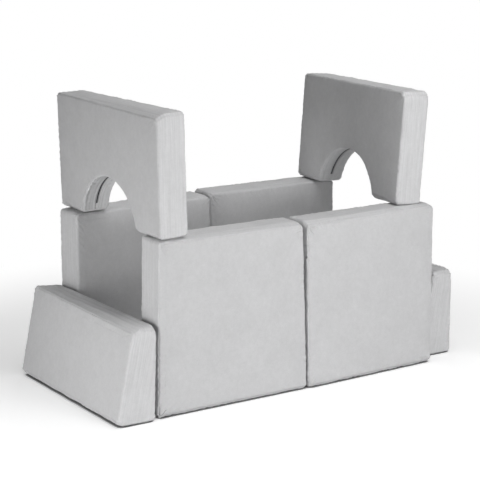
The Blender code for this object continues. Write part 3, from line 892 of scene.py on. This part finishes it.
# ---- Sliders: a small cast channel on each coil, with no pull tab, as on covers made for children.
# The CAD shape is right, so it stays and gets the paint: a baked grey enamel on zinc, half glossy,
# with a slight orange peel 1.4 mm across.
enamel, tree = new_material("painted_zinc_casting")
where = add_node(tree, "ShaderNodeTexCoord").outputs["Object"]
orange_peel = add_node(tree, "ShaderNodeTexNoise", {"Vector": where, "Scale": 700.0, "Detail": 2.0})
shade = multiply_add(tree, orange_peel.outputs["Fac"], 0.2, 0.9)
peel = add_node(tree, "ShaderNodeBump",
                {"Height": orange_peel.outputs["Fac"], "Strength": 0.2, "Distance": 0.0001})
shader = add_node(tree, "ShaderNodeBsdfPrincipled", {
    "Base Color": tinted(tree, "#55555a", shade), "Roughness": 0.35, "IOR": 1.5,
    "Normal": peel.outputs["Normal"]})
add_node(tree, "ShaderNodeOutputMaterial", {"Surface": shader.outputs["BSDF"]})
for block in block_kind:
    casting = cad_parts[f"{block}_slider"]
    for finish in casting.material_slots:
        finish.material = enamel


# ---- Studio: a seamless white floor, with a painted shadow where a block is within 20 mm above it, and fading to pure white far off, with soft light from the front, above, low on the left and behind.
floor_corners = np.array([(-40.0, -40.0, 0.0), (40.0, -40.0, 0.0), (40.0, 60.0, 0.0), (-40.0, 60.0, 0.0)])
floor = quad_piece("studio_floor", floor_corners, np.array([[0, 1, 2, 3]]), False)


def seen_by_camera(tree):
    """1 for a ray from the camera, straight or by way of gloss or glass, and 0 for any other."""
    ray = add_node(tree, "ShaderNodeLightPath")
    seen = ray.outputs["Is Camera Ray"]
    for by_way_of in ("Is Glossy Ray", "Is Transmission Ray"):
        either = add_node(tree, "ShaderNodeMath", {0: seen, 1: ray.outputs[by_way_of]}, operation="MAXIMUM")
        seen = either.outputs[0]
    return seen


# Background paper: matt white, lit and with a little glow of its own, so that open floor shows near white.
# Where a block is within 20 mm above it, a painted shadow darkens its colour to 0.30 of the white and puts
# the glow out. From 0.9 to 1.9 m away it fades to pure white.
paper, tree = new_material("white_background_paper")
spot = add_node(tree, "ShaderNodeTexCoord").outputs["Object"]
away = add_node(tree, "ShaderNodeVectorMath", {0: spot}, operation="LENGTH")
far_off = add_node(tree, "ShaderNodeMapRange",
                   {"Value": away.outputs["Value"], "From Min": 0.9, "From Max": 1.9},
                   interpolation_type="SMOOTHSTEP")
# Painted shadow: how much the blocks overhang the floor within 20 mm darkens its colour and dims its glow.
overhung = add_node(tree, "ShaderNodeAmbientOcclusion", {"Distance": 0.020}, samples=16)
clear_of_painted_shadow = add_node(tree, "ShaderNodeMapRange",
                      {"Value": overhung.outputs["AO"], "From Min": 0.35, "From Max": 0.65})
painted_contact_shadow = add_node(tree, "ShaderNodeMapRange",
                   {"Value": clear_of_painted_shadow.outputs["Result"], "To Min": 0.30, "To Max": 1.0})
paper_with_painted_shadow = tinted(tree, "#f4f4f4", painted_contact_shadow.outputs["Result"])
diffuse = add_node(tree, "ShaderNodeBsdfDiffuse", {"Color": paper_with_painted_shadow})
# Painted shadow: the glow dims with the same mask.
lift = add_node(tree, "ShaderNodeMath", {0: clear_of_painted_shadow.outputs["Result"], 1: 0.36}, operation="MULTIPLY")
glow = add_node(tree, "ShaderNodeEmission", {"Color": (1.0, 1.0, 1.0, 1.0), "Strength": lift.outputs[0]})
lit = add_node(tree, "ShaderNodeAddShader", {0: diffuse.outputs[0], 1: glow.outputs[0]})
white = add_node(tree, "ShaderNodeEmission", {"Color": (1.0, 1.0, 1.0, 1.0), "Strength": 1.0})
shown = add_node(tree, "ShaderNodeMixShader",
                 {0: far_off.outputs["Result"], 1: lit.outputs[0], 2: white.outputs[0]})
mixed = add_node(tree, "ShaderNodeMixShader",
                 {0: seen_by_camera(tree), 1: diffuse.outputs[0], 2: shown.outputs[0]})
add_node(tree, "ShaderNodeOutputMaterial", {"Surface": mixed.outputs[0]})
floor.data.materials.append(paper)

world = bpy.data.worlds.new("studio")
bpy.context.scene.world = world
world.use_nodes = True
tree = world.node_tree
tree.nodes.clear()
ambient = add_node(tree, "ShaderNodeBackground", {"Color": (1.0, 1.0, 1.0, 1.0), "Strength": 0.02})
white = add_node(tree, "ShaderNodeBackground", {"Color": (1.0, 1.0, 1.0, 1.0), "Strength": 1.0})
mixed = add_node(tree, "ShaderNodeMixShader",
                 {0: seen_by_camera(tree), 1: ambient.outputs[0], 2: white.outputs[0]})
add_node(tree, "ShaderNodeOutputWorld", {"Surface": mixed.outputs[0]})


def softbox(name, place, size, power):
    """A square area light that faces the middle of the den."""
    light = bpy.data.lights.new(name, "AREA")
    light.size = size
    light.energy = power
    lamp = bpy.data.objects.new(name, light)
    lamp.location = place
    lamp.rotation_euler = (lit_point - Vector(place)).to_track_quat("-Z", "Y").to_euler()
    bpy.context.scene.collection.objects.link(lamp)


lit_point = Vector((0.0, 0.0, 0.45))
softbox("front_softbox", (0.0, -3.20, 0.62), size=1.1, power=39.5)
softbox("high_front_right_softbox", (0.90, -2.50, 2.15), size=1.6, power=15.0)
softbox("left_reflector", (-2.15, -0.50, 0.30), size=1.0, power=20.0)
softbox("top_softbox", (0.0, -0.8, 3.35), size=1.8, power=42.0)
softbox("back_right_fill", (1.7, 2.4, 1.6), size=1.6, power=20.0)
bpy.context.scene.view_settings.view_transform = "Standard"
